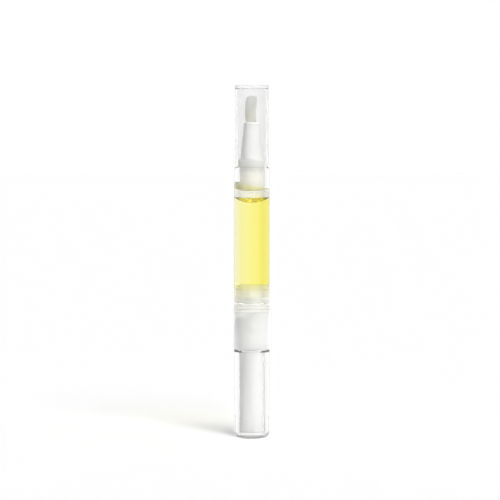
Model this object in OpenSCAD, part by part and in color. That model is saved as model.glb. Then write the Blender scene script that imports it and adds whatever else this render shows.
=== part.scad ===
// Twist pen for nail oil: a brush under a pull-off cap, a clear barrel of oil, and a knob whose
// screw drives a piston up the barrel. It stands on the knob, with its axis on Z and its foot at 0.

/* [Barrel and piston] */
// Outer diameter of the barrel, the middle sleeve and the knob
pen_d = 12; // [11.4:0.1:14]
// Wall of the barrel, round the bore that holds the oil
barrel_wall = 1.85; // [1.6:0.05:2.1]
// How far the piston can rise
stroke = 28.5; // [20:0.5:40]
// Room between the risen piston and the collar
dead_room = 3.2; // [2:0.1:6]
// Height of the air between the oil and the collar at rest
air_room = 2.7; // [1:0.1:4]
// Height of the piston from its foot to its upper lip
piston_len = 6.1; // [5:0.1:8]
// Depth of the dish in the piston's upper face
dish_depth = 1.3; // [0.6:0.1:1.5]
// Height of each of the piston's two sealing lips
lip_h = 1.7; // [1:0.1:2.2]
// Depth of the meniscus, lower in the middle than at the wall
meniscus_depth = 1.1; // [0.4:0.1:1.6]

/* [Cap] */
// How far the cap's side stands back from the barrel's
cap_step = 0.4; // [0.3:0.05:0.7]
// Wall of the cap
cap_wall = 0.85; // [0.6:0.05:1.1]
// Thickness of the cap's closed top
cap_top_t = 0.9; // [0.6:0.1:2]
// Radius of the cap's top edge
cap_edge_r = 0.45; // [0.2:0.05:0.6]
// Room between the brush tip and the cap's top
tip_room = 2.6; // [1:0.1:6]

/* [Brush] */
// Diameter of the tuft where it leaves the nozzle
tuft_d = 3.5; // [2.8:0.1:3.8]
// Length of the bristles that stand out of the nozzle
tuft_len = 8.8; // [6:0.1:12]
// Length of the tuft's solid root inside the nozzle
tuft_root_len = 4.6; // [3:0.1:5.5]
// Rounding of the tip: how much shorter the outer bristles are
tuft_dome = 1.9; // [1:0.1:2.5]
// How far the tip leans to one side
tuft_lean = 0.35; // [0:0.05:0.6]
// Length of the bush behind the tuft
retainer_len = 2; // [1:0.1:2.5]
// Bore of the bush
retainer_bore_d = 1.2; // [0.8:0.1:1.6]
// Height of the nozzle above the collar
nozzle_len = 12.2; // [10.5:0.1:16]
// Diameter of the nozzle at its mouth
nozzle_tip_d = 5.2; // [4.8:0.1:6]
// Rounding of the nozzle's mouth
nozzle_edge_r = 0.6; // [0.3:0.05:0.6]
// Diameter of the spigot under the nozzle
spigot_d = 4.6; // [4:0.1:5]
// Length of that spigot
spigot_len = 3.4; // [2:0.1:4]
// Bore that feeds oil up the nozzle
feed_d = 1.6; // [1:0.1:2]

/* [Collar] */
// Height of the flange that stands above the barrel
flange_h = 2.9; // [2:0.1:4]
// Width of the flange's ledge round the nozzle's foot
flange_ledge = 0.85; // [0.6:0.05:1.3]
// Rounding of the flange's shoulder
flange_edge_r = 0.8; // [0.3:0.1:0.9]
// Length of the plug inside the barrel
plug_len = 7.3; // [6:0.1:10]
// Wall of the plug's skirt
plug_wall = 1; // [0.7:0.05:1.4]
// Floor between the plug's hollow and the spigot's socket
plug_floor_t = 1.1; // [0.8:0.1:1.6]
// How many beads grip the barrel
bead_count = 3; // [1:1:4]
// How far a bead stands out
bead_h = 0.08; // [0.06:0.01:0.12]
// Width of a bead along the axis
bead_w = 0.7; // [0.4:0.05:1]
// Spacing of the beads
bead_pitch = 1.6; // [1.2:0.1:1.7]

/* [Middle sleeve] */
// Solid web between the nut and the barrel's foot
web_t = 1.2; // [0.8:0.1:2]
// Length of the spigot that goes up into the barrel
sleeve_spigot_len = 3; // [2.4:0.1:5]
// Wall of that spigot
sleeve_spigot_wall = 0.9; // [0.7:0.05:1.2]
// Height of the snap ring on that spigot
snap_h = 0.2; // [0.1:0.02:0.3]
// Width of a snap ring along the axis
snap_w = 0.8; // [0.5:0.1:1]
// Width of the keyways in the sleeve's bore
keyway_w = 0.9; // [0.6:0.1:1.2]
// Depth of the keyways
keyway_depth = 0.45; // [0.3:0.05:0.6]

/* [Knob] */
// Thickness of the knob's clear foot, under the white core
foot_t = 2.2; // [1.6:0.1:4]
// Rounding of the foot's outer edge
foot_r = 2.4; // [1.5:0.1:2.5]
// Wall of the knob, round the white core
knob_wall = 1.86; // [1.6:0.02:2]
// Closed floor of the core
core_floor_t = 1; // [0.6:0.1:2]
// How far the core reaches up into the middle sleeve
core_reach = 6.35; // [5.5:0.05:8]
// Height of the retaining bead on the core
core_bead_h = 0.3; // [0.2:0.02:0.4]
// Lead-in chamfer at the knob's mouth
mouth_chamfer = 0.4; // [0.2:0.05:0.6]
// How many ribs lock the core in the knob
rib_count = 8; // [6:1:12]
// Length of those ribs
rib_len = 5; // [3:0.5:8]
// Saw teeth on the core's upper rim
tooth_count = 12; // [8:1:16]
// Depth of a saw tooth
tooth_depth = 0.4; // [0.3:0.05:0.6]

/* [Screw] */
// Diameter over the thread's crests, as a share of the white core's
screw_share = 0.488; // [0.44:0.002:0.53]
// Depth of the thread
thread_depth = 0.4; // [0.3:0.05:0.5]
// How far the screw climbs in one turn
screw_lead = 3; // [2.4:0.1:4]
// Depth to which each of the screw's two flats is cut
flat_depth = 0.7; // [0.6:0.05:0.9]
// Length of screw that stays in the core's keyed bore at full stroke
key_grip = 4; // [3:0.1:5]
// Room under the screw's end at rest
screw_room = 0.5; // [0.3:0.1:1.5]
// Height of the fixed nut
nut_len = 3.2; // [2.6:0.1:5]
// How far the head in the piston stands back from the thread's crests, to pass the nut
head_step = 0.3; // [0.2:0.05:0.5]
// Height of that head
head_h = 1.6; // [1:0.1:1.7]
// How far the neck under the head stands back from it
neck_step = 0.5; // [0.4:0.05:0.6]
// Length of the neck
neck_len = 1.1; // [0.8:0.1:1.4]

/* [Click ring] */
// Thickness of the ring
ring_t = 0.7; // [0.5:0.05:1]
// Room between the ring's bore and the screw
ring_room = 0.6; // [0.4:0.05:0.8]
// Thickness of a sprung arm
arm_t = 0.35; // [0.25:0.05:0.5]

/* [Clearances] */
// Gap between the turning knob and the sleeve above it
seam_gap = 0.15; // [0.1:0.05:0.3]
// Radial running gap of the core in the sleeve
turn_gap = 0.1; // [0.06:0.01:0.15]
// Radial gap of pieces that are pushed together
push_gap = 0.04; // [0.02:0.01:0.06]
// Radial gap of the piston and the head that turns in it
seal_gap = 0.06; // [0.04:0.01:0.1]
// Radial gap of the cap on the flange
cap_gap = 0.05; // [0.04:0.01:0.08]
// Gap between the thread and the nut
thread_gap = 0.12; // [0.1:0.01:0.15]
// Small gap between faces that pass or face each other
face_gap = 0.1; // [0.05:0.01:0.15]

/* [Hidden] */
$fn = 96;

// Small sizes that several pieces share
edge_c = 0.15;
overrun = 1;
crush = 0.02;
piston_gap = 0.2;
lip_t = 0.6;
dish_flat_r = 1.4;
spigot_wall = 0.8;
key_count = 4;

// Stations along the axis, from the foot up
foot_z = 0;
core_z0 = foot_z + foot_t;
bore_floor_z = core_z0 + core_floor_t;
screw_z0 = bore_floor_z + screw_room;
core_z1 = screw_z0 + stroke + key_grip;
knob_z1 = core_z1 - core_reach - seam_gap;
sleeve_z0 = knob_z1 + seam_gap;
arm_tip_z = core_z1 + face_gap;
arm_z0 = arm_tip_z + tooth_depth;
ring_z0 = arm_z0 + arm_t + face_gap;
nut_z0 = ring_z0 + ring_t;
nut_z1 = nut_z0 + nut_len;
barrel_z0 = nut_z1 + web_t;
sleeve_z1 = barrel_z0 + sleeve_spigot_len;
piston_z0 = sleeve_z1 + piston_gap;
piston_z1 = piston_z0 + piston_len;
collar_z0 = piston_z1 + stroke + dead_room;
barrel_z1 = collar_z0 + plug_len;
oil_edge_z = collar_z0 - air_room;
flange_z1 = barrel_z1 + flange_h;
nozzle_z1 = flange_z1 + nozzle_len;
spigot_z0 = flange_z1 - spigot_len;
root_z1 = nozzle_z1 - nozzle_edge_r;
root_z0 = root_z1 - tuft_root_len;
retainer_z0 = root_z0 - retainer_len;
tuft_z1 = nozzle_z1 + tuft_len;
cap_z1 = tuft_z1 + tip_room + cap_top_t;
core_bead_z = sleeve_z0 + core_reach / 2;

// Radii that follow from the sizes above
pen_r = pen_d / 2;
bore_r = pen_r - barrel_wall;
plug_r = bore_r - push_gap;
piston_r = bore_r - seal_gap;
knob_bore_r = pen_r - knob_wall;
core_r = knob_bore_r - push_gap;
sleeve_bore_r = core_r + turn_gap;
nut_r = sleeve_bore_r - push_gap;
cap_r = pen_r - cap_step;
cap_bore_r = cap_r - cap_wall;
flange_r = cap_bore_r - cap_gap;
nozzle_base_r = flange_r - flange_ledge;
screw_r = core_r * screw_share;
flat_r = screw_r - flat_depth;
head_r = screw_r - head_step;
neck_r = head_r - neck_step;
ring_bore_r = screw_r + ring_room;
tuft_bore_r = tuft_d / 2 + push_gap;
spigot_socket_r = spigot_d / 2 + push_gap;
screw_z1 = piston_z0 - face_gap;

// Points of an arc, from one angle to another
arc_steps = 8;
function arc(x, z, r, a0, a1) =
    [for (i = [0:arc_steps]) let (a = a0 + (a1 - a0) * i / arc_steps) [x + r * cos(a), z + r * sin(a)]];

// Thread: the radius at an angle and a height, as a rounded wave that winds once in each lead
function thread_r(a, z) = screw_r - thread_depth * (1 - cos(a - 360 * z / screw_lead)) / 2;

// Faces of a tube of rings, closed at both ends, with the same number of points in each ring
function ring_faces(rings, n) = concat(
    [for (i = [0:rings - 2], k = [0:n - 1]) let (a = i * n + k, b = i * n + (k + 1) % n) [a, a + n, b + n]],
    [for (i = [0:rings - 2], k = [0:n - 1]) let (a = i * n + k, b = i * n + (k + 1) % n) [a, b + n, b]],
    [for (k = [1:n - 2]) [0, k, k + 1]],
    [for (k = [1:n - 2]) let (t = (rings - 1) * n) [t, t + k + 1, t + k]]);

// One ring of the screw: two arcs of thread, one on each side, joined by the two flats
arc_points = 5;
corner_angle = acos(flat_r / screw_r);
function side_corner(a, z) = acos(flat_r / thread_r(a, z));
function side_arc(turn, z) =
    let (
        a0 = turn + side_corner(turn + corner_angle, z),
        a1 = turn + 180 - side_corner(turn + 180 - corner_angle, z)
    )
    [for (i = [0:arc_points - 1])
        let (a = a0 + (a1 - a0) * i / (arc_points - 1), end = i == 0 || i == arc_points - 1)
        let (r = end ? flat_r / abs(cos(a - turn)) : thread_r(a, z))
        [r * cos(a), r * sin(a), z]];
rings_per_lead = 12;
module screw_thread(z0, z1) {
    rings = ceil((z1 - z0) / screw_lead * rings_per_lead) + 1;
    heights = [for (i = [0:rings - 1]) z0 + (z1 - z0) * i / (rings - 1)];
    polyhedron(
        points = [for (z = heights) each concat(side_arc(0, z), side_arc(180, z))],
        faces = ring_faces(rings, 2 * arc_points));
}

// The nut's thread, as a full round wave that is wider than the screw by the thread gap
nut_points = 24;
module thread_hole(z0, z1) {
    rings = ceil((z1 - z0) / screw_lead * rings_per_lead) + 1;
    heights = [for (i = [0:rings - 1]) z0 + (z1 - z0) * i / (rings - 1)];
    polyhedron(
        points = [for (z = heights, k = [0:nut_points - 1])
            let (a = 360 * k / nut_points, r = thread_r(a, z) + thread_gap)
            [r * cos(a), r * sin(a), z]],
        faces = ring_faces(rings, nut_points));
}

// Tuft: rings of points cut a disc into triangular cells, and one bristle stands in each cell
tuft_rings = 8;
bristle_share = 0.62;
bristle_tip_share = 0.5;
bulge_share = 1.14;
waist_share = 0.6;
tip_share = 0.98;
tuft_r = tuft_d / 2;
function ring_start(k) = k == 0 ? 0 : 1 + 3 * k * (k - 1);
function node_of(k, j) = k == 0 ? 0 : ring_start(k) + j % (6 * k);
disc_points = concat([[0, 0]],
    [for (k = [1:tuft_rings], j = [0:6 * k - 1])
        let (a = 60 * j / k, r = tuft_r * k / tuft_rings) [r * cos(a), r * sin(a)]]);
cells = concat(
    [for (s = [0:5], k = [1:tuft_rings], i = [0:k - 1])
        [node_of(k, s * k + i), node_of(k, s * k + i + 1), node_of(k - 1, s * (k - 1) + i)]],
    [for (s = [0:5], k = [2:tuft_rings], i = [0:k - 2])
        [node_of(k - 1, s * (k - 1) + i), node_of(k, s * k + i + 1), node_of(k - 1, s * (k - 1) + i + 1)]]);
function centre_of(cell) = (disc_points[cell[0]] + disc_points[cell[1]] + disc_points[cell[2]]) / 3;
function lifted(p, z) = [p[0], p[1], z];
// A bristle's nine points: its foot, its waist and its blunt tip
function bristle(cell) =
    let (
        c = centre_of(cell),
        corners = [for (n = cell) (disc_points[n] - c) * bristle_share],
        top = tuft_z1 - tuft_dome * pow(norm(c) / tuft_r, 2),
        waist = root_z1 + (tuft_z1 - root_z1) * waist_share
    )
    concat(
        [for (p = corners) lifted(c + p, root_z1)],
        [for (p = corners) lifted(c * bulge_share + [tuft_lean * waist_share, 0] + p, waist)],
        [for (p = corners) lifted(c * tip_share + [tuft_lean, 0] + p * bristle_tip_share, top)]);
function quad(a, b, c, d) = [[a, c, b], [a, d, c]];
module tuft_solid() {
    disc = len(disc_points);
    rim = 6 * tuft_rings;
    rim0 = ring_start(tuft_rings);
    foot0 = disc;
    hub = foot0 + rim;
    first = hub + 1;
    points = concat(
        [for (p = disc_points) lifted(p, root_z1)],
        [for (j = [0:rim - 1]) lifted(disc_points[rim0 + j], root_z0)],
        [[0, 0, root_z0]],
        [for (cell = cells) each bristle(cell)]);
    faces = concat(
        [for (n = [0:len(cells) - 1], i = [0:2])
            let (b = first + 9 * n, j = (i + 1) % 3, cell = cells[n])
            each concat(
                quad(cell[i], cell[j], b + j, b + i),
                quad(b + i, b + j, b + 3 + j, b + 3 + i),
                quad(b + 3 + i, b + 3 + j, b + 6 + j, b + 6 + i))],
        [for (n = [0:len(cells) - 1]) let (b = first + 9 * n + 6) [b, b + 2, b + 1]],
        [for (j = [0:rim - 1]) let (k = (j + 1) % rim) each quad(foot0 + j, foot0 + k, rim0 + k, rim0 + j)],
        [for (j = [0:rim - 1]) let (k = (j + 1) % rim) [hub, foot0 + j, foot0 + k]]);
    polyhedron(points = points, faces = faces);
}

// A round body turned from an outline of radius and height
module turned(outline) {
    rotate_extrude() polygon(outline);
}

// A ring that stands proud of a cylinder, with sloping flanks
module bead(r, h, w, z) {
    turned([
        [r - overrun / 2, z - w / 2], [r, z - w / 2], [r + h, z - w / 4],
        [r + h, z + w / 4], [r, z + w / 2], [r - overrun / 2, z + w / 2]]);
}

module over_cap() {
    inner_z = cap_z1 - cap_top_t;
    color([0.93, 0.94, 0.94, 0.4])
        turned(concat(
            [[cap_bore_r + edge_c, barrel_z1], [cap_r - edge_c, barrel_z1], [cap_r, barrel_z1 + edge_c]],
            arc(cap_r - cap_edge_r, cap_z1 - cap_edge_r, cap_edge_r, 0, 90),
            [[0, cap_z1], [0, inner_z]],
            arc(cap_bore_r - cap_edge_r, inner_z - cap_edge_r, cap_edge_r, 90, 0),
            [[cap_bore_r, barrel_z1 + edge_c]]));
}

module bristle_tuft() {
    color([0.88, 0.87, 0.8])
        tuft_solid();
}

module tuft_retainer() {
    color([0.96, 0.96, 0.94])
        difference() {
            translate([0, 0, retainer_z0])
                cylinder(r = tuft_bore_r - push_gap, h = retainer_len);
            translate([0, 0, retainer_z0 - overrun])
                cylinder(d = retainer_bore_d, h = retainer_len + 2 * overrun);
        }
}

module brush_nozzle() {
    tip_r = nozzle_tip_d / 2;
    color([0.97, 0.97, 0.96])
        difference() {
            union() {
                turned(concat(
                    [[0, flange_z1], [nozzle_base_r, flange_z1]],
                    arc(tip_r - nozzle_edge_r, nozzle_z1 - nozzle_edge_r, nozzle_edge_r, 0, 90),
                    [[0, nozzle_z1]]));
                translate([0, 0, spigot_z0])
                    cylinder(d = spigot_d, h = spigot_len + overrun);
                bead(spigot_d / 2, push_gap + crush, bead_w, spigot_z0 + spigot_len / 2);
            }
            translate([0, 0, retainer_z0])
                cylinder(r = tuft_bore_r, h = nozzle_z1 - retainer_z0 + overrun);
            translate([0, 0, spigot_z0 - overrun])
                cylinder(d = feed_d, h = retainer_z0 - spigot_z0 + 2 * overrun);
            turned([
                [0, spigot_z0 - overrun], [spigot_d / 2 - spigot_wall, spigot_z0 - overrun],
                [spigot_d / 2 - spigot_wall, spigot_z0 + spigot_len], [0, retainer_z0]]);
        }
}

module brush_collar() {
    hollow_r = plug_r - plug_wall;
    floor_z = spigot_z0 - plug_floor_t;
    color([0.85, 0.86, 0.82, 0.7])
        difference() {
            union() {
                turned(concat(
                    [[0, barrel_z1], [flange_r, barrel_z1]],
                    arc(flange_r - flange_edge_r, flange_z1 - flange_edge_r, flange_edge_r, 0, 90),
                    [[0, flange_z1]]));
                turned([
                    [0, collar_z0], [plug_r - edge_c, collar_z0], [plug_r, collar_z0 + edge_c],
                    [plug_r, barrel_z1 + edge_c], [0, barrel_z1 + edge_c]]);
                for (i = [0:bead_count - 1])
                    bead(plug_r, bead_h, bead_w, barrel_z1 - bead_w - i * bead_pitch);
            }
            translate([0, 0, spigot_z0])
                cylinder(r = spigot_socket_r, h = spigot_len + overrun);
            translate([0, 0, floor_z - overrun])
                cylinder(d = feed_d, h = plug_floor_t + 2 * overrun);
            turned([
                [0, collar_z0 - overrun], [hollow_r, collar_z0 - overrun],
                [hollow_r, floor_z - plug_wall], [hollow_r - plug_wall, floor_z], [0, floor_z]]);
        }
}

module barrel() {
    color([0.9, 0.95, 0.95, 0.3])
        difference() {
            turned([
                [0, barrel_z0], [pen_r - edge_c, barrel_z0], [pen_r, barrel_z0 + edge_c],
                [pen_r, barrel_z1 - edge_c], [pen_r - edge_c, barrel_z1], [0, barrel_z1]]);
            translate([0, 0, barrel_z0 - overrun])
                cylinder(r = bore_r, h = barrel_z1 - barrel_z0 + 2 * overrun);
            bead(bore_r, snap_h, snap_w + 2 * face_gap, barrel_z0 + sleeve_spigot_len / 2);
        }
}

module oil_fill() {
    r = bore_r - push_gap;
    lip_r = piston_r - lip_t;
    dish_z = piston_z1 - dish_depth;
    color([0.97, 0.9, 0.3, 0.75])
        turned(concat(
            [[0, dish_z + face_gap], [dish_flat_r, dish_z + face_gap],
                [lip_r - face_gap, piston_z1 + face_gap], [r, piston_z1 + face_gap]],
            [for (i = [0:arc_steps]) let (u = 1 - i / arc_steps)
                [r * u, oil_edge_z - meniscus_depth * (1 - pow(u, 4))]]));
}

// How much of the lip's wall the piston's waist is drawn in by
lip_step_share = 0.7;
module piston() {
    waist_r = piston_r - lip_t * lip_step_share;
    dish_z = piston_z1 - dish_depth;
    lip_r = piston_r - lip_t;
    pocket_z = screw_z1 + neck_len - face_gap;
    color([0.88, 0.89, 0.85, 0.8])
        difference() {
            turned([
                [0, piston_z0], [piston_r - edge_c, piston_z0], [piston_r, piston_z0 + edge_c],
                [piston_r, piston_z0 + lip_h - edge_c], [waist_r, piston_z0 + lip_h],
                [waist_r, piston_z1 - lip_h], [piston_r, piston_z1 - lip_h + edge_c],
                [piston_r, piston_z1], [lip_r, piston_z1], [dish_flat_r, dish_z], [0, dish_z]]);
            translate([0, 0, piston_z0 - overrun])
                cylinder(r = neck_r + seal_gap, h = pocket_z - piston_z0 + 2 * overrun);
            translate([0, 0, pocket_z])
                cylinder(r = head_r + seal_gap, h = head_h + 2 * face_gap);
        }
}

module drive_screw() {
    neck_z1 = screw_z1 + neck_len;
    shoulder_r = screw_r + face_gap;
    color([0.97, 0.97, 0.96])
        union() {
            screw_thread(screw_z0, screw_z1 - overrun / 2);
            turned([
                [0, screw_z1 - overrun], [flat_r, screw_z1 - overrun],
                [shoulder_r, screw_z1 - overrun / 2], [shoulder_r, screw_z1],
                [neck_r, screw_z1], [neck_r, neck_z1], [head_r, neck_z1],
                [head_r, neck_z1 + head_h / 2], [neck_r, neck_z1 + head_h],
                [0, neck_z1 + head_h]]);
        }
}

// Ribs or keyways round an axis, as blocks that straddle a radius
module keys(r, depth, w, z0, h) {
    for (i = [0:key_count - 1])
        rotate([0, 0, 360 * i / key_count])
            translate([r - overrun, -w / 2, z0])
                cube([overrun + depth, w, h]);
}

module screw_nut() {
    rib_w = keyway_w - 2 * push_gap;
    color([0.95, 0.95, 0.93])
        difference() {
            union() {
                translate([0, 0, nut_z0])
                    cylinder(r = nut_r, h = nut_len);
                keys(nut_r, keyway_depth, rib_w, nut_z0, nut_len);
            }
            thread_hole(nut_z0 - overrun, nut_z1 + overrun);
        }
}

// The arm takes up this much of the rim that it rides on, and its post and tip this much of the arm
arm_share = 0.6;
narrow_share = 0.7;
module click_ring() {
    rim_w = core_r - ring_bore_r;
    arm_r = core_r - rim_w / 2;
    arm_w = rim_w * arm_share;
    arm_angle = 110;
    post_angle = 16;
    tip_angle = 8;
    inset_angle = 2;
    narrow_w = arm_w * narrow_share;
    rib_w = keyway_w - 2 * push_gap;
    color([0.9, 0.9, 0.88])
        union() {
            difference() {
                union() {
                    translate([0, 0, ring_z0])
                        cylinder(r = nut_r, h = ring_t);
                    keys(nut_r, keyway_depth, rib_w, ring_z0, ring_t);
                }
                translate([0, 0, ring_z0 - overrun])
                    cylinder(r = ring_bore_r, h = ring_t + 2 * overrun);
            }
            for (side = [0, 180]) {
                arm_piece(side, arm_angle, arm_r, arm_w, arm_z0, arm_t);
                arm_piece(side + inset_angle, post_angle, arm_r, narrow_w,
                    arm_z0 + arm_t / 2, ring_z0 - arm_z0 + ring_t / 2 - arm_t / 2);
                arm_piece(side + arm_angle - tip_angle - inset_angle, tip_angle, arm_r, narrow_w,
                    arm_tip_z, arm_z0 + arm_t / 2 - arm_tip_z);
            }
        }
}

// A stretch of a sprung arm, from one angle round by another
module arm_piece(start, sweep, r, w, z, h) {
    rotate([0, 0, start])
        translate([0, 0, z])
            rotate_extrude(angle = sweep)
                translate([r - w / 2, 0])
                    square([w, h]);
}

module middle_sleeve() {
    spigot_r = plug_r;
    through_r = spigot_r - sleeve_spigot_wall;
    color([0.9, 0.91, 0.9, 0.85])
        difference() {
            union() {
                turned([
                    [0, sleeve_z0], [pen_r - edge_c, sleeve_z0], [pen_r, sleeve_z0 + edge_c],
                    [pen_r, barrel_z0 - edge_c], [pen_r - edge_c, barrel_z0],
                    [spigot_r, barrel_z0], [spigot_r, sleeve_z1 - edge_c],
                    [spigot_r - edge_c, sleeve_z1], [0, sleeve_z1]]);
                bead(spigot_r, snap_h, snap_w, barrel_z0 + sleeve_spigot_len / 2);
            }
            translate([0, 0, sleeve_z0 - overrun])
                cylinder(r = sleeve_bore_r, h = nut_z1 - sleeve_z0 + overrun);
            translate([0, 0, nut_z1 - overrun])
                cylinder(r = through_r, h = sleeve_z1 - nut_z1 + 2 * overrun);
            keys(sleeve_bore_r, keyway_depth, keyway_w, sleeve_z0 - overrun, nut_z1 - sleeve_z0 + overrun);
            bead(sleeve_bore_r, core_bead_h, snap_w + 2 * turn_gap, core_bead_z);
        }
}

module drive_sleeve() {
    plain_z1 = core_z1 - key_grip - face_gap;
    plain_r = screw_r + thread_gap;
    tooth_angle = 360 / tooth_count;
    color([0.97, 0.97, 0.96])
        difference() {
            union() {
                turned([
                    [0, core_z0], [core_r - edge_c, core_z0], [core_r, core_z0 + edge_c],
                    [core_r, core_z1], [0, core_z1]]);
                bead(core_r, core_bead_h, snap_w, core_bead_z);
                for (i = [0:rib_count - 1])
                    rotate([0, 0, 360 * i / rib_count])
                        translate([core_r - overrun, -snap_w / 4, core_z0 + edge_c])
                            cube([overrun + push_gap + crush, snap_w / 2, rib_len]);
            }
            translate([0, 0, bore_floor_z])
                cylinder(r = plain_r, h = plain_z1 - bore_floor_z);
            intersection() {
                translate([0, 0, plain_z1 - overrun])
                    cylinder(r = plain_r, h = core_z1 - plain_z1 + 2 * overrun);
                translate([-flat_r - seal_gap, -plain_r, plain_z1 - 2 * overrun])
                    cube([2 * (flat_r + seal_gap), 2 * plain_r, core_z1 - plain_z1 + 4 * overrun]);
            }
            for (i = [0:tooth_count - 1])
                rotate([0, 0, i * tooth_angle])
                    saw_notch(tooth_angle);
        }
}

// The notch in front of one saw tooth: upright on one side and sloping on the other
notch_share = 0.9;
module saw_notch(angle) {
    run = ring_bore_r * sin(angle) * notch_share;
    translate([ring_bore_r - face_gap, 0, core_z1])
        rotate([90, 0, 90])
            linear_extrude(height = core_r)
                polygon([[0, overrun], [0, -tooth_depth], [run, 0], [run, overrun]]);
}

module knob_shell() {
    flat_r = pen_r - foot_r;
    mouth_r = knob_bore_r + mouth_chamfer;
    color([0.92, 0.95, 0.95, 0.3])
        difference() {
            turned(concat(
                [[0, foot_z]],
                arc(flat_r, foot_z + foot_r, foot_r, -90, 0),
                [[pen_r, knob_z1 - edge_c], [pen_r - edge_c, knob_z1], [0, knob_z1]]));
            turned([
                [0, core_z0], [knob_bore_r, core_z0], [knob_bore_r, knob_z1 - 2 * mouth_chamfer],
                [mouth_r, knob_z1], [mouth_r, knob_z1 + overrun], [0, knob_z1 + overrun]]);
        }
}

over_cap();
bristle_tuft();
tuft_retainer();
brush_nozzle();
brush_collar();
barrel();
oil_fill();
piston();
drive_screw();
screw_nut();
click_ring();
middle_sleeve();
drive_sleeve();
knob_shell();
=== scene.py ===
"""Looks of the twist pen: its plastics, oil and bristles, with the floor, the light and the camera."""

import math
import random

import bpy
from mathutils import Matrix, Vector


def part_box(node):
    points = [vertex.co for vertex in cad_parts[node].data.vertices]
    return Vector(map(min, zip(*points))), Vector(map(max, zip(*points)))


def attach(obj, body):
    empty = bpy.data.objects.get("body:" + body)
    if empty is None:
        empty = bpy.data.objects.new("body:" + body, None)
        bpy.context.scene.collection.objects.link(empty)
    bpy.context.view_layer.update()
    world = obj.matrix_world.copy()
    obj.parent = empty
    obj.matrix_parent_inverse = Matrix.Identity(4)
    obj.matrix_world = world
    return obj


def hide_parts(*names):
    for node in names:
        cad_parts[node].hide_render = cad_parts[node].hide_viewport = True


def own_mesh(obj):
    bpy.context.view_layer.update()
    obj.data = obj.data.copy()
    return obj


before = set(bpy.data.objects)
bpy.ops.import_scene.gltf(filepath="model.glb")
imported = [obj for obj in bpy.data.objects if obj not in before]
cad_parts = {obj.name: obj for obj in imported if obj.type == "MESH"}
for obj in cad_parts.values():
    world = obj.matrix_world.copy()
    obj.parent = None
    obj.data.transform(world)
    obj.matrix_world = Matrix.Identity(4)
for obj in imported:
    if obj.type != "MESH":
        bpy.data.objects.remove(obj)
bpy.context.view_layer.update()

MM = 0.001

# Sides of every turned body
ROUND = 192

# The least angle between faces that shows as an edge
EDGE_ANGLE = math.radians(35)

# How far a wet, welded or pressed face goes into what it touches
BITE = 0.02 * MM

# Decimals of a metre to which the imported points' radii and heights are rounded
R_DECIMALS = 5
Z_DECIMALS = 6

# The least height that a radius is read across, so that no division fails
LEAST_STEP = 1e-9

# Radii that tell the sides of a node apart: above the hollows of the piston, sleeve and collar, above the
# barrel's bore and what sits in it, inside the barrel's wall, and outside the pen
HOLLOW_R = 3.6 * MM
BORE_R = 4.5 * MM
WALL_R = 5 * MM
OUTSIDE_R = 7 * MM


# Places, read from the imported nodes

def low(node):
    """Height of a node's lowest point."""
    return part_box(node)[0].z


def high(node):
    """Height of a node's highest point."""
    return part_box(node)[1].z


def levels(node):
    """The least and the most radius of a round node at each height where it has points."""
    found = {}
    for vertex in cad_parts[node].data.vertices:
        z = round(vertex.co.z, Z_DECIMALS)
        found.setdefault(z, []).append(math.hypot(vertex.co.x, vertex.co.y))
    return [(z, min(found[z]), max(found[z])) for z in sorted(found)]


def outside(node, low_z, high_z, least_r):
    """A node's outer outline as (radius, height), between two heights."""
    return [(r, z) for z, _, r in levels(node) if low_z <= z <= high_z and r > least_r]


def inside(node, low_z, high_z, most_r):
    """A node's bore as (radius, height), between two heights."""
    return [(r, z) for z, r, _ in levels(node) if low_z <= z <= high_z and r < most_r]


def corners(node, least_r, most_r, downward=False):
    """The corners of a round node between two radii as (radius, height), in order along its outline."""
    found = set()
    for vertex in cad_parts[node].data.vertices:
        r = round(math.hypot(vertex.co.x, vertex.co.y), R_DECIMALS)
        if least_r < r < most_r:
            found.add((r, round(vertex.co.z, Z_DECIMALS)))
    path = []
    for z in sorted({corner[1] for corner in found}, reverse=downward):
        level = [corner for corner in found if corner[1] == z]
        path += sorted(level, key=lambda corner: abs(corner[0] - path[-1][0]) if path else corner[0])
    return path


def side_r(node, at_z, least_r, most_r):
    """A node's radius at a height, from its nearest corners between two radii below and above."""
    sides = [(z, r) for r, z in corners(node, least_r, most_r)]
    z0, r0 = max(side for side in sides if side[0] <= at_z)
    z1, r1 = min(side for side in sides if side[0] >= at_z)
    return r0 + (r1 - r0) * (at_z - z0) / max(z1 - z0, LEAST_STEP)


barrel_bore_r = levels("barrel")[0][1]
barrel_foot_r = levels("barrel")[0][2]
plug_bottom_z = low("brush_collar")
plug_hollow_r = levels("brush_collar")[0][1]
column_z = high("oil_fill") + 0.1 * MM
mouth_z = high("brush_nozzle")
tuft_z = high("bristle_tuft")


# Shader building

def new_material(name):
    """An empty node material and its node tree."""
    material = bpy.data.materials.new(name)
    material.use_nodes = True
    material.node_tree.nodes.clear()
    return material, material.node_tree


def add(tree, kind, inputs=None, **settings):
    """A new shader node, with its settings and its unlinked inputs."""
    made = tree.nodes.new(kind)
    for key, value in settings.items():
        setattr(made, key, value)
    for key, value in (inputs or {}).items():
        made.inputs[key].default_value = value
    return made


def noise(tree, scale, stretch=(1, 1, 1)):
    """Noise in the piece's own space: scale is in waves per metre."""
    place = add(tree, "ShaderNodeTexCoord")
    mapping = add(tree, "ShaderNodeMapping", {"Scale": stretch})
    made = add(tree, "ShaderNodeTexNoise", {"Scale": scale, "Detail": 3})
    tree.links.new(place.outputs["Object"], mapping.inputs["Vector"])
    tree.links.new(mapping.outputs["Vector"], made.inputs["Vector"])
    return made.outputs["Fac"]


def ranged(tree, socket, source, target):
    """A value moved from one range to another and held within it."""
    made = add(tree, "ShaderNodeMapRange", {
        "From Min": source[0], "From Max": source[1], "To Min": target[0], "To Max": target[1]})
    tree.links.new(socket, made.inputs["Value"])
    return made.outputs["Result"]


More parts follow.
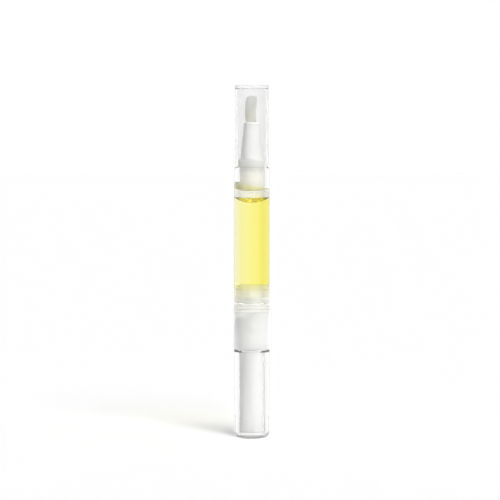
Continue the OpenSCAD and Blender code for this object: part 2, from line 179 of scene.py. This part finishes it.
def spread(tree, socket, target):
    """A noise's middle values drawn out over a range."""
    return ranged(tree, socket, (0.3, 0.7), target)


def combine(tree, operation, *terms):
    """Arithmetic on sockets and numbers."""
    made = add(tree, "ShaderNodeMath", operation=operation)
    for i, term in enumerate(terms):
        if isinstance(term, (int, float)):
            made.inputs[i].default_value = term
        else:
            tree.links.new(term, made.inputs[i])
    return made.outputs[0]


def place_axis(tree, axis, kind="Object"):
    """One axis of a point's place, or of a direction in the world."""
    place = add(tree, "ShaderNodeTexCoord")
    parts = add(tree, "ShaderNodeSeparateXYZ")
    tree.links.new(place.outputs[kind], parts.inputs[0])
    return parts.outputs[axis]


def blended(tree, share, first, second):
    """A colour between two, each a colour or a socket."""
    made = add(tree, "ShaderNodeMix", data_type="RGBA")
    tree.links.new(share, made.inputs["Factor"])
    for name, colour in (("A", first), ("B", second)):
        socket = next(s for s in made.inputs if s.name == name and s.type == "RGBA")
        if isinstance(colour, tuple):
            socket.default_value = (*colour, 1)
        else:
            tree.links.new(colour, socket)
    return next(s for s in made.outputs if s.type == "RGBA")


def bumped(tree, socket, strength, height):
    """A bump from a noise: height is in metres."""
    made = add(tree, "ShaderNodeBump", {"Strength": strength, "Distance": height})
    tree.links.new(socket, made.inputs["Height"])
    return made.outputs["Normal"]


def finish_surface(tree, shader, shade=None, volume=None):
    """Wires a shader to the output. Lamps pass through it tinted by shade, where that is given."""
    output = add(tree, "ShaderNodeOutputMaterial")
    if shade:
        path = add(tree, "ShaderNodeLightPath")
        clear = add(tree, "ShaderNodeBsdfTransparent", {"Color": (*shade, 1)})
        mix = add(tree, "ShaderNodeMixShader")
        tree.links.new(path.outputs["Is Shadow Ray"], mix.inputs["Fac"])
        tree.links.new(shader.outputs[0], mix.inputs[1])
        tree.links.new(clear.outputs[0], mix.inputs[2])
        tree.links.new(mix.outputs[0], output.inputs["Surface"])
    else:
        tree.links.new(shader.outputs[0], output.inputs["Surface"])
    if volume:
        tree.links.new(volume.outputs[0], output.inputs["Volume"])


def plastic(name, colour, rough, clarity=0.0, ior=1.49, shade=None, ripple=0.0, milk=0.0,
            depth=1.2 * MM, bloom=0.0, stain=None):
    """A moulded plastic. rough is its least and most roughness, clarity the share of light that goes
    straight through, milk the share that spreads inside it to a depth, and bloom the pale veil of its
    matt skin. stain is a second colour, with the heights between which it comes in."""
    grain_scale = 300
    grain_stretch = (1, 1, 0.3)
    ripple_scale = 1200
    ripple_height = 0.02 * MM
    material, tree = new_material(name)
    shader = add(tree, "ShaderNodeBsdfPrincipled", {
        "Base Color": (*colour, 1), "IOR": ior, "Transmission Weight": clarity,
        "Subsurface Weight": milk, "Subsurface Radius": (1, 1, 1), "Subsurface Scale": depth,
        "Sheen Weight": bloom, "Sheen Roughness": 0.5})
    if stain:
        share = ranged(tree, place_axis(tree, "Z"), stain[1:], (0, 1))
        tree.links.new(blended(tree, share, colour, stain[0]), shader.inputs["Base Color"])
    grain = noise(tree, grain_scale, grain_stretch)
    tree.links.new(spread(tree, grain, rough), shader.inputs["Roughness"])
    if ripple:
        waves = bumped(tree, noise(tree, ripple_scale), ripple, ripple_height)
        tree.links.new(waves, shader.inputs["Normal"])
    finish_surface(tree, shader, shade)
    return material


def oil_liquid(name, deep_tint_and_painted_shade=(1, 1, 1), axis="X", reach=(-4 * MM, 4 * MM)):
    """Clear yellow oil, coloured by its thickness. A deep tint may come in over a reach of one axis. Across
    the barrel's oil, from left to right, that tint is painted light and shade: paler on the left and deeper
    on the right.
    """
    body_colour = (0.996, 0.965, 0.3, 1)
    body_density = 157
    shade = (0.93, 0.93, 0.925)
    material, tree = new_material(name)
    shader = add(tree, "ShaderNodeBsdfPrincipled", {
        "IOR": 1.47, "Transmission Weight": 1, "Roughness": 0})
    share = ranged(tree, place_axis(tree, axis), reach, (0, 1))
    tree.links.new(blended(tree, share, (1, 1, 1), deep_tint_and_painted_shade), shader.inputs["Base Color"])
    absorption = add(tree, "ShaderNodeVolumeAbsorption", {"Color": body_colour, "Density": body_density})
    finish_surface(tree, shader, shade, absorption)
    return material


def bristle_nylon():
    """Nylon bristles, a little different from strand to strand, wet with oil below and paler at the tips."""
    paling = (109 * MM, 113 * MM)
    strand_scale = 2500
    shade = (0.91, 0.91, 0.89)
    material, tree = new_material("bristle")
    shader = add(tree, "ShaderNodeBsdfPrincipled", {
        "IOR": 1.5, "Roughness": 0.3, "Transmission Weight": 0.3, "Coat Weight": 0.3, "Coat Roughness": 0.2})
    strand = add(tree, "ShaderNodeNewGeometry").outputs["Random Per Island"]
    wet = blended(tree, strand, (0.82, 0.82, 0.75), (0.92, 0.92, 0.87))
    dry = blended(tree, strand, (0.88, 0.88, 0.88), (0.97, 0.97, 0.97))
    height = ranged(tree, place_axis(tree, "Z"), paling, (0, 1))
    tree.links.new(blended(tree, height, wet, dry), shader.inputs["Base Color"])
    rough = spread(tree, noise(tree, strand_scale), (0.25, 0.45))
    tree.links.new(rough, shader.inputs["Roughness"])
    finish_surface(tree, shader, shade)
    return material


# Mesh building

def new_piece(name, points, faces, material, body):
    """A smooth mesh that rides on a body."""
    mesh = bpy.data.meshes.new(name)
    mesh.from_pydata(points, [], faces)
    mesh.validate()
    mesh.shade_smooth()
    mesh.set_sharp_from_angle(angle=EDGE_ANGLE)
    mesh.materials.append(material)
    piece = bpy.data.objects.new(name, mesh)
    bpy.context.scene.collection.objects.link(piece)
    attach(piece, body)
    return piece


def circles(outline):
    """The points of the circles that an outline of (radius, height) turns to."""
    points = []
    for r, z in outline:
        for k in range(ROUND):
            angle = math.tau * k / ROUND
            points.append((r * math.cos(angle), r * math.sin(angle), z))
    return points


def turned(outline):
    """Points and faces of a closed body turned from an outline of (radius, height), which starts and ends
    on the axis."""
    rings = outline[1:-1]
    points = [(0, 0, outline[0][1]), *circles(rings), (0, 0, outline[-1][1])]
    faces = []
    last = len(points) - 1
    top = 1 + (len(rings) - 1) * ROUND
    for k in range(ROUND):
        n = (k + 1) % ROUND
        faces.append((0, 1 + n, 1 + k))
        faces.append((last, top + k, top + n))
        for i in range(len(rings) - 1):
            a = 1 + i * ROUND
            faces.append((a + k, a + n, a + ROUND + n, a + ROUND + k))
    return points, faces


def ringed(outline):
    """Points and faces of a ring turned from a closed outline of (radius, height)."""
    points = circles(outline)
    faces = []
    for i in range(len(outline)):
        a = i * ROUND
        b = (i + 1) % len(outline) * ROUND
        for k in range(ROUND):
            n = (k + 1) % ROUND
            faces.append((a + k, a + n, b + n, b + k))
    return points, faces


def oil_column(material):
    """The oil in the barrel: it fills the piston's dish, wets the bore and has a hollow surface on top."""
    wall_r = barrel_bore_r + 0.03 * MM
    rim_z = high("piston") - BITE
    dish_z = low("oil_fill") - 0.12 * MM
    dish_r = 1.4 * MM
    lip_r = 3.5 * MM
    depth = 2.05 * MM
    steepness = 2.4
    steps = 32
    outline = [(0, dish_z), (dish_r, dish_z), (lip_r, rim_z), (wall_r, rim_z)]
    for i in range(steps + 1):
        share = math.cos(math.pi / 2 * i / steps)
        outline.append((wall_r * share, column_z - depth * (1 - share ** steepness)))
    outline[-1] = (0, column_z - depth)
    points, faces = turned(outline)
    piece = new_piece("oil_column", points, faces, material, "pen_body")
    squashed(piece)
    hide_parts("oil_fill")


def squashed(piece):
    """Gives a piece a mesh of its own."""
    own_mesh(piece)


def oil_on_wall(material):
    """A rippled film that has stayed on the bore above the oil."""
    low_z = column_z + 0.08 * MM
    high_z = plug_bottom_z - 0.1 * MM
    thickness = 0.08 * MM
    ripple = 0.045 * MM
    ripples = 3.5
    steps = 40
    outline = [(barrel_bore_r + BITE, low_z), (barrel_bore_r + BITE, high_z)]
    for i in range(steps + 1):
        face_r = barrel_bore_r - thickness - ripple * math.cos(ripples * math.tau * i / steps)
        outline.append((face_r, high_z + (low_z - high_z) * i / steps))
    points, faces = ringed(outline)
    squashed(new_piece("oil_on_wall", points, faces, material, "pen_body"))


def oil_film(name, material, node, body, low_z, high_z, slant=0.0):
    """Oil that creeps between a node and the barrel's bore, and so joins them to the eye. Its top may slant
    down to the right."""
    foot_r = side_r(node, low_z, HOLLOW_R, BORE_R)
    top_r = side_r(node, high_z, HOLLOW_R, BORE_R)
    outer = [(barrel_bore_r, low_z)] + inside("barrel", low_z, high_z, BORE_R) + [(barrel_bore_r, high_z)]
    inner = [(foot_r, low_z)] + outside(node, low_z, high_z, HOLLOW_R) + [(top_r, high_z)]
    outline = [(r + BITE, z) for r, z in outer] + [(r - BITE, z) for r, z in reversed(inner)]
    points, faces = ringed(outline)
    if slant:
        points = [(x, y, slanted(x, y, z, high_z, slant)) for x, y, z in points]
    new_piece(name, points, faces, material, body)


def slanted(x, y, z, top_z, slant):
    """The height of a ring's point, where the ring's top slants down to the right."""
    return z - slant * (1 + x / math.hypot(x, y)) / 2 if z == top_z else z


def pressed_collar(material):
    """The collar as it sits in the barrel, with its beads pressed flat against the bore."""
    pressed_r = barrel_bore_r - BITE
    barrel_top_z = high("barrel") - 0.1 * MM
    outer = corners("brush_collar", HOLLOW_R, OUTSIDE_R)
    outer = [(min(r, pressed_r) if z < barrel_top_z else r, z) for r, z in outer]
    inner = corners("brush_collar", 0, HOLLOW_R, downward=True)
    points, faces = ringed(outer + inner)
    piece = new_piece("pressed_collar", points, faces, material, "pen_body")
    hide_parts("brush_collar")


def joint_weld(material):
    """The milky weld between barrel and sleeve, which fills the groove outside."""
    joint_z = low("barrel")
    skin_low_z = joint_z - 0.17 * MM
    skin_high_z = joint_z + 0.35 * MM
    skin_r = side_r("barrel", skin_high_z, WALL_R, OUTSIDE_R) - 0.5 * BITE
    outline = [
        (barrel_bore_r - BITE, joint_z - BITE), (barrel_foot_r - BITE, joint_z - BITE),
        (skin_r, skin_low_z), (skin_r, skin_high_z), (barrel_bore_r - BITE, joint_z + BITE)]
    points, faces = ringed(outline)
    new_piece("joint_weld", points, faces, material, "pen_body")


def plug_drop(material):
    """Oil held in the mouth of the collar's plug, and hanging a little below it."""
    plug_r = barrel_bore_r - 0.04 * MM
    rim_r = plug_r - 0.2 * MM
    hollow_r = plug_hollow_r + BITE
    hang_z = plug_bottom_z - 0.35 * MM
    foot_z = plug_bottom_z + BITE
    top_z = plug_bottom_z + 1.9 * MM
    # Shares of the radius, with the rise above the lowest point or the fall below the highest
    belly = ((0, 0), (0.6, 0.05 * MM), (0.85, 0.2 * MM))
    dimple = ((0.6, 0.4 * MM), (0, 0.6 * MM))
    outline = [(share * plug_r, hang_z + rise) for share, rise in belly]
    outline += [(rim_r, foot_z), (hollow_r, foot_z + BITE), (hollow_r, top_z)]
    outline += [(share * plug_hollow_r, top_z - fall) for share, fall in dimple]
    points, faces = turned(outline)
    new_piece("oil_on_plug", points, faces, material, "pen_body")


def sunflower(count):
    """Places spread evenly over a disc of radius 1."""
    golden = math.pi * (3 - math.sqrt(5))
    places = []
    for i in range(count):
        share = math.sqrt((i + 0.5) / count)
        places.append((share * math.cos(i * golden), share * math.sin(i * golden)))
    return places


def strand_path(start, reach, top_z, lock):
    """Points of one bristle, from inside the nozzle to its tip. It bows to the left, its tip leans right,
    and it is drawn to the middle of its wet lock."""
    root_z = mouth_z - 1.6 * MM
    free = tuft_z - mouth_z
    low_swell, low_swell_end = 0.07, 0.2
    high_swell, high_swell_start = 0.26, 0.4
    lock_pull = 0.25
    left_bow, left_bow_end = 0.42 * MM, 0.12
    right_lean = 0.35 * MM
    steps = 9
    path = []
    for i in range(steps + 1):
        z = root_z + (top_z - root_z) * i / steps
        out = max(0, (z - mouth_z) / free)
        swell = 1 + low_swell * min(1, out / low_swell_end) + high_swell * max(0, out - high_swell_start)
        pull = lock_pull * out ** 3
        bow = right_lean * out ** 3 - left_bow * min(1, out / left_bow_end)
        x = swell * (start[0] * (1 - pull) + lock[0] * pull) + bow + reach[0] * out ** 2
        y = swell * (start[1] * (1 - pull) + lock[1] * pull) + reach[1] * out ** 2
        path.append(Vector((x, y, z)))
    return path


def add_tube(points, faces, path, r):
    """Adds a fine tube along a path, with a tapered and closed end."""
    sides = 6
    taper = 0.55
    taper_start = 0.7
    first = len(points)
    for i, p in enumerate(path):
        t = i / (len(path) - 1)
        ring_r = r * (1 - taper * max(0, t - taper_start) / (1 - taper_start))
        for k in range(sides):
            angle = math.tau * k / sides
            points.append((p.x + ring_r * math.cos(angle), p.y + ring_r * math.sin(angle), p.z))
    for i in range(len(path) - 1):
        a = first + i * sides
        for k in range(sides):
            n = (k + 1) % sides
            faces.append((a + k, a + n, a + sides + n, a + sides + k))
    faces.append(tuple(first + k for k in reversed(range(sides))))
    faces.append(tuple(first + (len(path) - 1) * sides + k for k in range(sides)))


def brush_tuft(material):
    """The tuft: fine bristles that swell a little, cling in wet locks at the tip and slope off on the
    left."""
    count = 900
    lock_count = 15
    strand_r = 0.056 * MM
    root_r = 1.68 * MM
    edge_drop, edge_start = 0.9 * MM, 0.7
    left_slope, slope_start = 1.8 * MM, 0.45
    unevenness = 0.2 * MM
    sway = 0.05 * MM
    dice = random.Random(7)
    locks = [(root_r * across, root_r * along) for across, along in sunflower(lock_count)]
    points, faces = [], []
    for across, along in sunflower(count):
        start = (root_r * across, root_r * along)
        lock = min(locks, key=lambda c: math.hypot(c[0] - start[0], c[1] - start[1]))
        outward = max(0, (math.hypot(across, along) - edge_start) / (1 - edge_start))
        drop = edge_drop * outward ** 2 + left_slope * max(0, -across - slope_start)
        top_z = tuft_z - drop - dice.uniform(0, unevenness)
        reach = (dice.gauss(0, sway), dice.gauss(0, sway))
        add_tube(points, faces, strand_path(start, reach, top_z, lock), strand_r)
    piece = new_piece("brush_tuft", points, faces, material, "pen_body")
    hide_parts("bristle_tuft")


# Finishes

CLEAR = plastic("clear_plastic", (0.995, 0.995, 0.99), (0.0, 0.03), clarity=1.0, ior=1.55,
                shade=(0.975, 0.975, 0.975), ripple=0.03)
CAP = plastic("cap_plastic", (0.94, 0.94, 0.938), (0.03, 0.07), clarity=0.97,
              shade=(0.83, 0.83, 0.83), ripple=0.02)
NATURAL = plastic("natural_plastic", (0.78, 0.78, 0.765), (0.35, 0.5), clarity=0.6,
                  shade=(0.96, 0.96, 0.95), ripple=0.3, milk=1.0, depth=2 * MM, bloom=0.3)
COLLAR = plastic("collar_plastic", (0.87, 0.87, 0.84), (0.3, 0.45), clarity=0.2,
                 shade=(0.96, 0.96, 0.95), ripple=0.3, milk=1.0, depth=3 * MM, bloom=0.4,
                 stain=((0.66, 0.655, 0.6), 92.4 * MM, 87.5 * MM))
FROSTED = plastic("frosted_plastic", (0.85, 0.85, 0.835), (0.4, 0.55), clarity=0.25,
                  shade=(0.96, 0.96, 0.96), ripple=0.2, milk=1.0, depth=10 * MM, bloom=1.0)
WELD = plastic("weld_plastic", (0.8, 0.8, 0.79), (0.5, 0.6), ior=1.0, shade=(0.7, 0.7, 0.7), milk=1.0,
               depth=3 * MM)
WHITE = plastic("white_plastic", (0.88, 0.88, 0.865), (0.3, 0.45), ripple=0.3, milk=0.05)
CORE = plastic("core_plastic", (0.998, 0.998, 0.985), (0.5, 0.6), ior=1.2, ripple=0.3, milk=1.0,
               depth=7.5 * MM, bloom=1.0)
# The oil's paler yellow on the left and deeper yellow on the right is painted light and shade, not a change
# in the oil itself.
OIL = oil_liquid("oil", deep_tint_and_painted_shade=(0.985, 0.935, 0.16))
THIN_OIL = oil_liquid("thin_oil")
WALL_OIL = oil_liquid("wall_oil", deep_tint_and_painted_shade=(0.97, 0.965, 0.92), axis="Z", reach=(0, 1 * MM))
PLUG_OIL = oil_liquid("plug_oil", deep_tint_and_painted_shade=(1, 0.96, 0.5), axis="Z", reach=(86 * MM, 84 * MM))
PISTON_OIL = oil_liquid("piston_oil", deep_tint_and_painted_shade=(1, 0.97, 0.5), axis="Z", reach=(48.5 * MM, 51 * MM))
BRISTLE = bristle_nylon()

FINISH = {
    "over_cap": CAP, "barrel": CLEAR, "knob_shell": CLEAR, "brush_collar": COLLAR, "piston": NATURAL,
    "middle_sleeve": FROSTED, "tuft_retainer": WHITE, "brush_nozzle": WHITE, "drive_screw": WHITE,
    "screw_nut": CORE, "click_ring": CORE, "drive_sleeve": CORE, "oil_fill": OIL, "bristle_tuft": BRISTLE}

for node_name, finish in FINISH.items():
    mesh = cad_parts[node_name].data
    mesh.materials.clear()
    mesh.materials.append(finish)


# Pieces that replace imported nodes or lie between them

oil_column(OIL)
pressed_collar(COLLAR)
joint_weld(WELD)
plug_drop(THIN_OIL)
oil_on_wall(WALL_OIL)
oil_film("oil_by_plug", PLUG_OIL, "brush_collar", "pen_body",
         plug_bottom_z + 0.05 * MM, plug_bottom_z + 2.7 * MM, slant=2.3 * MM)
oil_film("oil_by_piston", PISTON_OIL, "piston", "piston",
         low("piston") + 0.05 * MM, high("piston") - 0.06 * MM)
oil_film("oil_by_sleeve", THIN_OIL, "middle_sleeve", "pen_body",
         low("barrel") + 0.1 * MM, high("middle_sleeve") - 0.1 * MM)
brush_tuft(BRISTLE)


# Floor, light and camera

def shown_ray(tree):
    """1 where a ray comes from the camera, or from it by way of gloss or glass, and has met nothing matt."""
    path = add(tree, "ShaderNodeLightPath")
    total = path.outputs["Is Camera Ray"]
    for name in ("Is Glossy Ray", "Is Transmission Ray"):
        total = combine(tree, "MAXIMUM", total, path.outputs[name])
    return combine(tree, "MULTIPLY", total, combine(tree, "LESS_THAN", path.outputs["Diffuse Depth"], 0.5))


def surround(tree, x, y):
    """How bright the studio looks in a direction, in gloss and through glass: white, a little less so in
    front, with a grey card far out on each side."""
    front = ranged(tree, y, (0.4, -0.4), (0, 0.1))
    right = ranged(tree, x, (0.8, 0.97), (0, 0.5))
    left = ranged(tree, x, (-0.8, -0.97), (0, 0.3))
    level = 1
    for loss in (front, right, left):
        level = combine(tree, "SUBTRACT", level, loss)
    return level


def studio_floor():
    """A wide white floor, which keeps the pen's shadow."""
    half = 3
    z = -0.02 * MM
    points = [(-half, -half, z), (half, -half, z), (half, half, z), (-half, half, z)]
    mesh = bpy.data.meshes.new("studio_floor")
    mesh.from_pydata(points, [], [(0, 1, 2, 3)])
    floor = bpy.data.objects.new("studio_floor", mesh)
    bpy.context.scene.collection.objects.link(floor)
    mesh.materials.append(floor_paint())


def floor_paint():
    """White paint, a little whiter to the camera. Gloss and glass see it nearly evenly lit, as bright as the
    studio is in the direction in which it lies."""
    paint_level = 0.92
    camera_gain = 0.325
    glass_paint = 0.05
    glass_glow = 0.97
    material, tree = new_material("floor")
    place = add(tree, "ShaderNodeTexCoord")
    flat = add(tree, "ShaderNodeVectorMath", operation="NORMALIZE")
    tree.links.new(place.outputs["Object"], flat.inputs[0])
    parts = add(tree, "ShaderNodeSeparateXYZ")
    tree.links.new(flat.outputs[0], parts.inputs[0])
    level = surround(tree, parts.outputs["X"], parts.outputs["Y"])
    camera_ray = add(tree, "ShaderNodeLightPath").outputs["Is Camera Ray"]
    by_glass = combine(tree, "SUBTRACT", shown_ray(tree), camera_ray)
    paint = add(tree, "ShaderNodeBsdfDiffuse")
    shade = add(tree, "ShaderNodeMix", data_type="FLOAT")
    tree.links.new(combine(tree, "MULTIPLY_ADD", camera_ray, camera_gain, paint_level), shade.inputs["A"])
    tree.links.new(by_glass, shade.inputs["Factor"])
    tree.links.new(combine(tree, "MULTIPLY", level, glass_paint), shade.inputs["B"])
    tint = add(tree, "ShaderNodeCombineColor")
    for channel in tint.inputs[:3]:
        tree.links.new(shade.outputs["Result"], channel)
    tree.links.new(tint.outputs[0], paint.inputs["Color"])
    lift = add(tree, "ShaderNodeEmission", {"Color": (1, 1, 1, 1)})
    glow = combine(tree, "MULTIPLY", by_glass, combine(tree, "MULTIPLY", level, glass_glow))
    tree.links.new(glow, lift.inputs["Strength"])
    both = add(tree, "ShaderNodeAddShader")
    tree.links.new(paint.outputs[0], both.inputs[0])
    tree.links.new(lift.outputs[0], both.inputs[1])
    finish_surface(tree, both)
    return material


def studio_world():
    """Soft light from all round, brighter on the right, and a low bright backdrop, which shines through what
    is milky. The camera sees plain white behind the pen, also through its clear plastic."""
    right_level = 0.7
    backdrop_level = 12
    world = bpy.data.worlds.new("studio")
    bpy.context.scene.world = world
    world.use_nodes = True
    tree = world.node_tree
    tree.nodes.clear()
    x = place_axis(tree, "X", "Generated")
    y = place_axis(tree, "Y", "Generated")
    z = place_axis(tree, "Z", "Generated")
    overhead = ranged(tree, z, (0.15, 0.75), (1, 0.7))
    behind = ranged(tree, y, (0.8, 0.9), (0, backdrop_level))
    low_down = ranged(tree, z, (0.12, 0.18), (1, 0))
    backdrop = combine(tree, "MULTIPLY", behind, low_down)
    lit = combine(tree, "ADD", ranged(tree, x, (-1, 1), (0, right_level)), backdrop)
    seen = combine(tree, "MULTIPLY", surround(tree, x, y), overhead)
    path = add(tree, "ShaderNodeLightPath")
    straight = combine(tree, "MAXIMUM", path.outputs["Is Camera Ray"], seen)
    level = add(tree, "ShaderNodeMix", data_type="FLOAT")
    tree.links.new(shown_ray(tree), level.inputs["Factor"])
    tree.links.new(lit, level.inputs["A"])
    tree.links.new(straight, level.inputs["B"])
    background = add(tree, "ShaderNodeBackground", {"Color": (1, 1, 1, 1)})
    tree.links.new(level.outputs["Result"], background.inputs["Strength"])
    output = add(tree, "ShaderNodeOutputWorld")
    tree.links.new(background.outputs[0], output.inputs["Surface"])


def key_light():
    """A large soft lamp in front, to the right and above."""
    azimuth = math.radians(21)
    elevation = math.radians(43)
    lamp = bpy.data.lights.new("key", "SUN")
    lamp.energy = 1.85
    lamp.angle = math.radians(23)
    lamp_object = bpy.data.objects.new("key", lamp)
    bpy.context.scene.collection.objects.link(lamp_object)
    towards = Vector((math.sin(azimuth) * math.cos(elevation), -math.cos(azimuth) * math.cos(elevation),
                      math.sin(elevation)))
    lamp_object.rotation_euler = towards.to_track_quat("Z", "Y").to_euler()


def photo_camera():
    """The photograph's view: from the front, a metre away and as high as the cap."""
    distance = 1
    height = 0.118
    aim_x = -0.6 * MM
    aim_z = 0.063
    picture_px = 500
    px_per_metre = 3000
    camera = bpy.data.cameras.new("camera")
    camera.sensor_width = 36
    camera.lens = distance * px_per_metre / picture_px * camera.sensor_width
    camera_object = bpy.data.objects.new("camera", camera)
    bpy.context.scene.collection.objects.link(camera_object)
    camera_object.location = (aim_x, -distance, height)
    towards = Vector((aim_x, 0, aim_z)) - camera_object.location
    camera_object.rotation_euler = towards.to_track_quat("-Z", "Y").to_euler()
    bpy.context.scene.camera = camera_object


studio_floor()
studio_world()
key_light()
photo_camera()

scene = bpy.context.scene
scene.view_settings.view_transform = "Standard"
scene.cycles.max_bounces = 32
scene.cycles.transmission_bounces = 32
scene.cycles.transparent_max_bounces = 32
scene.cycles.glossy_bounces = 12
scene.cycles.diffuse_bounces = 6
